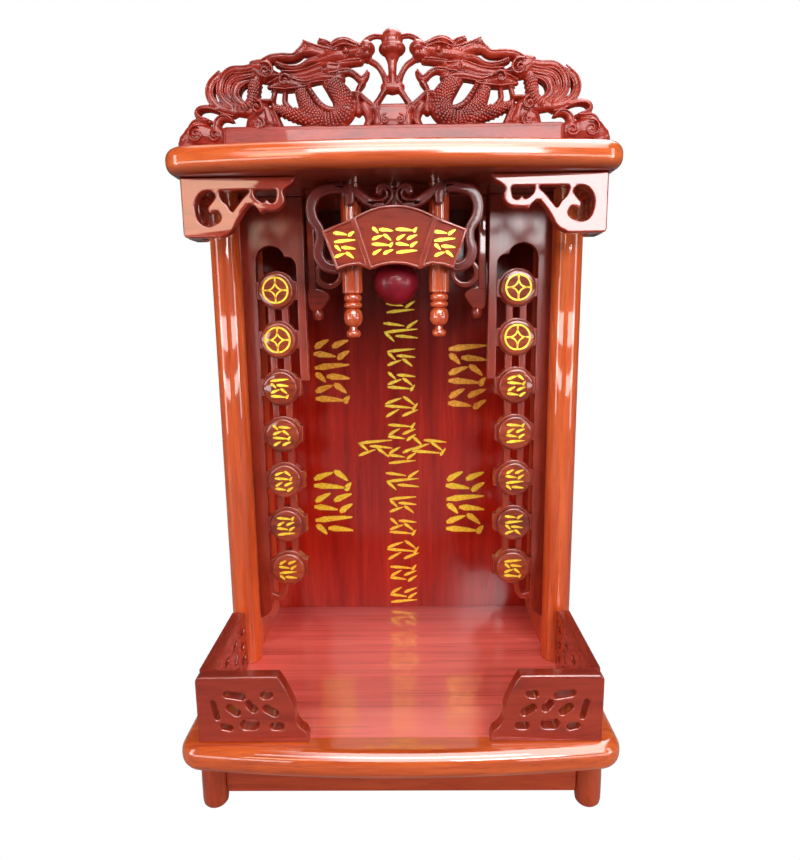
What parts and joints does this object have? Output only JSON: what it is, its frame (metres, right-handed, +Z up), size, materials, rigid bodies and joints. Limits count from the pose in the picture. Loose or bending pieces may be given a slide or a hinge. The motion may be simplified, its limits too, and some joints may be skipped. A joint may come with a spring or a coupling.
{
  "type": "ancestor shrine niche",
  "caption": "Lacquered wooden tabletop ancestor shrine niche with an openwork crest, round posts, pierced rails, button-studded side strips and a hanging fan plaque.",
  "frame": {"origin": "middle of the footprint, at the underside of the feet", "axes": "+Z up, -Y towards the open front, +X to the viewer's right"},
  "size_m": [0.462, 0.359, 0.8111],
  "materials": {
    "orange_wood": "orange-brown lacquer over straight grain, high gloss",
    "red_wood": "red-brown lacquer, high gloss",
    "floor_wood": "red-orange lacquer over cross grain, high gloss",
    "panel_wood": "deep red lacquer over upright grain, satin gloss",
    "plaque_wood": "brick red lacquer with gilded marks",
    "disc_wood": "reddish brown lacquer with gilded marks",
    "lamp": "crimson, smooth and glossy"
  },
  "bodies": {
    "root": {"base_board": "orange_wood", "floor_panel": "floor_wood", "foot_front_left": "orange_wood", "foot_front_right": "orange_wood", "foot_back_left": "orange_wood", "foot_back_right": "orange_wood", "apron_front": "orange_wood", "apron_back": "orange_wood", "apron_left": "orange_wood", "apron_right": "orange_wood", "rail_front_left": "red_wood", "rail_front_right": "red_wood", "rail_side_left": "red_wood", "rail_side_right": "red_wood", "post_left": "orange_wood", "post_right": "orange_wood", "side_wall_left": "panel_wood", "side_wall_right": "panel_wood", "back_panel": "panel_wood", "couplet_board_left": "red_wood", "couplet_board_right": "red_wood", "disc_left_1": "disc_wood", "disc_left_2": "disc_wood", "disc_left_3": "disc_wood", "disc_left_4": "disc_wood", "disc_left_5": "disc_wood", "disc_left_6": "disc_wood", "disc_left_7": "disc_wood", "disc_right_1": "disc_wood", "disc_right_2": "disc_wood", "disc_right_3": "disc_wood", "disc_right_4": "disc_wood", "disc_right_5": "disc_wood", "disc_right_6": "disc_wood", "disc_right_7": "disc_wood", "bracket_front_left": "red_wood", "bracket_front_right": "red_wood", "bracket_side_left": "red_wood", "bracket_side_right": "red_wood", "roof_board": "orange_wood", "crest": "red_wood", "plaque": "plaque_wood", "plaque_scrollwork": "red_wood", "hanging_post_left": "orange_wood", "hanging_post_right": "orange_wood", "lamp_ball": "lamp", "lamp_holder": "red_wood", "inner_spandrel_left": "red_wood", "inner_spandrel_right": "red_wood"}
  },
  "joints": []
}
